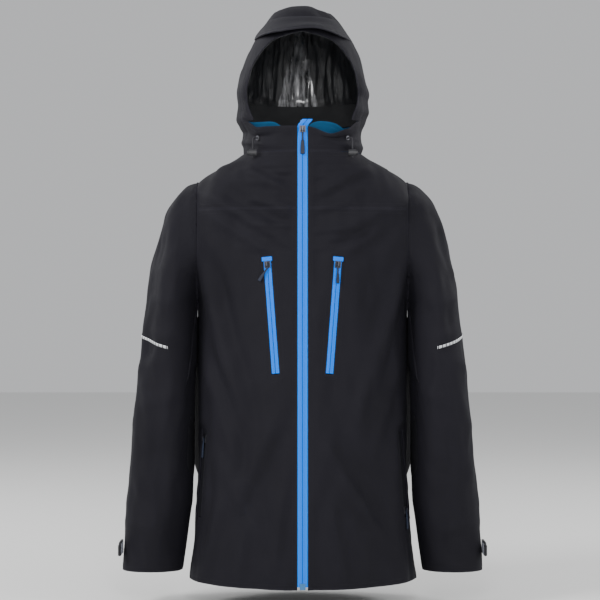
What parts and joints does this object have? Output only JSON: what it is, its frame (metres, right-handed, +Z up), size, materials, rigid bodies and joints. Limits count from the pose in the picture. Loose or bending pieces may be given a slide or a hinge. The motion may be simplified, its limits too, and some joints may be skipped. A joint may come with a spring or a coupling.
{
  "type": "hooded ski jacket",
  "caption": "Hooded ski jacket with a contrast coated front zip, slanted chest zips, side hand pockets, cuff tabs, a brimmed hood and a powder skirt.",
  "frame": {"origin": "middle of the shoulder line at the base of the neck, where the wearer's shoulders carry the jacket", "axes": "+Z up through the neck, the front faces -Y, +X is the wearer's left"},
  "size_m": [0.6538, 0.3028, 1.021],
  "materials": {
    "shell_fabric": "matt woven polyester with a water repellent finish",
    "hood_brim": "stiffened woven polyester",
    "lining": "smooth black taffeta",
    "hood_lining": "glossy black taffeta",
    "pocket_bag": "black tricot",
    "facing_blue": "blue brushed tricot",
    "zip_blue": "blue coated zip tape",
    "zip_black": "black coated zip tape",
    "slider_metal": "dark plated",
    "zip_stops": "moulded blue acetal",
    "pull_grip": "dark navy cord and moulded grip",
    "reflective": "silver reflective tape",
    "cuff_tab": "moulded rubbery tab",
    "hook_loop": "black loop tape",
    "hanger_tape": "black woven tape",
    "powder_fabric": "stretch woven polyamide",
    "grip_tape": "grip elastic",
    "snap_metal": "dark plated snap",
    "eyelet_metal": "nickel plated",
    "cord": "braided cord",
    "lock_plastic": "moulded nylon"
  },
  "bodies": {
    "torso": {"back_panel": "shell_fabric", "body_lining": "lining", "chest_pocket_bag_left": "pocket_bag", "chest_pocket_bag_right": "pocket_bag", "chest_zip_tapes_left": "zip_blue", "chest_zip_tapes_right": "zip_blue", "collar_facing": "facing_blue", "collar_shell": "shell_fabric", "front_panel_left": "shell_fabric", "front_panel_right": "shell_fabric", "hand_pocket_bag_left": "pocket_bag", "hand_pocket_bag_right": "pocket_bag", "hand_pocket_welt_left": "shell_fabric", "hand_pocket_welt_right": "shell_fabric", "hand_zip_tapes_left": "zip_black", "hand_zip_tapes_right": "zip_black", "hanger_loop": "hanger_tape", "hem_facing": "lining", "hood_centre_panel": "shell_fabric", "hood_drawcords": "cord", "hood_eyelets": "eyelet_metal", "hood_lining": "hood_lining", "hood_lock_barrels": "lock_plastic", "hood_side_left": "shell_fabric", "hood_side_right": "shell_fabric", "main_zip_stops": "zip_stops", "main_zip_tape_left": "zip_blue", "main_zip_tape_right": "zip_blue", "powder_skirt": "powder_fabric", "shoulder_yoke": "shell_fabric", "skirt_grip_tape": "grip_tape", "skirt_snap_studs": "snap_metal", "storm_flap": "lining"},
    "sleeve_left": {"sleeve_left": "shell_fabric", "sleeve_lining_left": "lining", "reflective_strip_left": "reflective", "cuff_loop_patch_left": "hook_loop"},
    "cuff_tab_left": {"cuff_tab_left": "cuff_tab"},
    "hood_lock_button_left": {"hood_lock_button_left": "lock_plastic"},
    "chest_slider_left": {"chest_zip_slider_left": "slider_metal"},
    "chest_pull_left": {"chest_zip_pull_left": "pull_grip"},
    "hand_slider_left": {"hand_zip_slider_left": "slider_metal"},
    "hand_pull_left": {"hand_zip_pull_left": "pull_grip"},
    "sleeve_right": {"sleeve_right": "shell_fabric", "sleeve_lining_right": "lining", "reflective_strip_right": "reflective", "cuff_loop_patch_right": "hook_loop"},
    "cuff_tab_right": {"cuff_tab_right": "cuff_tab"},
    "hood_lock_button_right": {"hood_lock_button_right": "lock_plastic"},
    "chest_slider_right": {"chest_zip_slider_right": "slider_metal"},
    "chest_pull_right": {"chest_zip_pull_right": "pull_grip"},
    "hand_slider_right": {"hand_zip_slider_right": "slider_metal"},
    "hand_pull_right": {"hand_zip_pull_right": "pull_grip"},
    "hood_front": {"hood_face_band": "shell_fabric", "hood_brim": "hood_brim"},
    "main_slider": {"main_zip_slider": "slider_metal"},
    "main_pull": {"main_zip_pull": "pull_grip"}
  },
  "joints": [
    {"name": "shoulder_left", "type": "hinge", "parent": "torso", "child": "sleeve_left", "pos_m": [0.187, 0, -0.045], "axis": [0, -1, 0], "range_deg": [0, 60]},
    {"name": "cuff_tab_left_lift", "type": "hinge", "parent": "sleeve_left", "child": "cuff_tab_left", "pos_m": [0.32562, 0.0275, -0.7], "axis": [0, 0, 1], "range_deg": [0, 110]},
    {"name": "shoulder_right", "type": "hinge", "parent": "torso", "child": "sleeve_right", "pos_m": [-0.187, 0, -0.045], "axis": [0, 1, 0], "range_deg": [0, 60]},
    {"name": "cuff_tab_right_lift", "type": "hinge", "parent": "sleeve_right", "child": "cuff_tab_right", "pos_m": [-0.32562, 0.0275, -0.7], "axis": [0, 0, -1], "range_deg": [0, 110]},
    {"name": "hood_fold", "type": "hinge", "parent": "torso", "child": "hood_front", "pos_m": [0, -0.035, 0.061], "axis": [-1, 0, 0], "range_deg": [0, 60], "deforming": ["hood_centre_panel", "hood_side_left", "hood_side_right", "hood_lining"]},
    {"name": "main_zip_slide", "type": "slide", "parent": "torso", "child": "main_slider", "axis": [0, -0.0677, -0.9977], "range_m": [0, 0.7769]},
    {"name": "main_zip_pull_lift", "type": "hinge", "parent": "main_slider", "child": "main_pull", "pos_m": [0, -0.10069, 0.04221], "axis": [-1, 0, 0], "range_deg": [0, 150]},
    {"name": "chest_zip_left_slide", "type": "slide", "parent": "torso", "child": "chest_slider_left", "axis": [-0.0763, -0.0718, -0.9945], "range_m": [0, 0.1806]},
    {"name": "chest_zip_left_pull_lift", "type": "hinge", "parent": "chest_slider_left", "child": "chest_pull_left", "pos_m": [0.06163, -0.11136, -0.1938], "axis": [-0.9735, -0.2104, 0.0899], "range_deg": [0, 150]},
    {"name": "hand_zip_left_slide", "type": "slide", "parent": "torso", "child": "hand_slider_left", "axis": [-0.0688, 0.0091, 0.9976], "range_m": [0, 0.1264]},
    {"name": "hand_zip_left_pull_lift", "type": "hinge", "parent": "hand_slider_left", "child": "hand_pull_left", "pos_m": [0.18396, -0.0428, -0.62786], "axis": [-0.3832, -0.9235, -0.018], "range_deg": [0, 150]},
    {"name": "chest_zip_right_slide", "type": "slide", "parent": "torso", "child": "chest_slider_right", "axis": [0.0763, -0.0718, -0.9945], "range_m": [0, 0.1806]},
    {"name": "chest_zip_right_pull_lift", "type": "hinge", "parent": "chest_slider_right", "child": "chest_pull_right", "pos_m": [-0.06163, -0.11136, -0.1938], "axis": [-0.9735, 0.2104, -0.0899], "range_deg": [0, 150]},
    {"name": "hand_zip_right_slide", "type": "slide", "parent": "torso", "child": "hand_slider_right", "axis": [-0.0688, -0.0091, -0.9976], "range_m": [0, 0.1264]},
    {"name": "hand_zip_right_pull_lift", "type": "hinge", "parent": "hand_slider_right", "child": "hand_pull_right", "pos_m": [-0.17526, -0.04165, -0.5018], "axis": [-0.3832, 0.9235, 0.018], "range_deg": [0, 150]},
    {"name": "hood_lock_left_press", "type": "slide", "parent": "torso", "child": "hood_lock_button_left", "axis": [-1, 0, 0], "range_m": [0, 0.003], "stiffness_N_per_m": 300},
    {"name": "hood_lock_right_press", "type": "slide", "parent": "torso", "child": "hood_lock_button_right", "axis": [1, 0, 0], "range_m": [0, 0.003], "stiffness_N_per_m": 300}
  ]
}
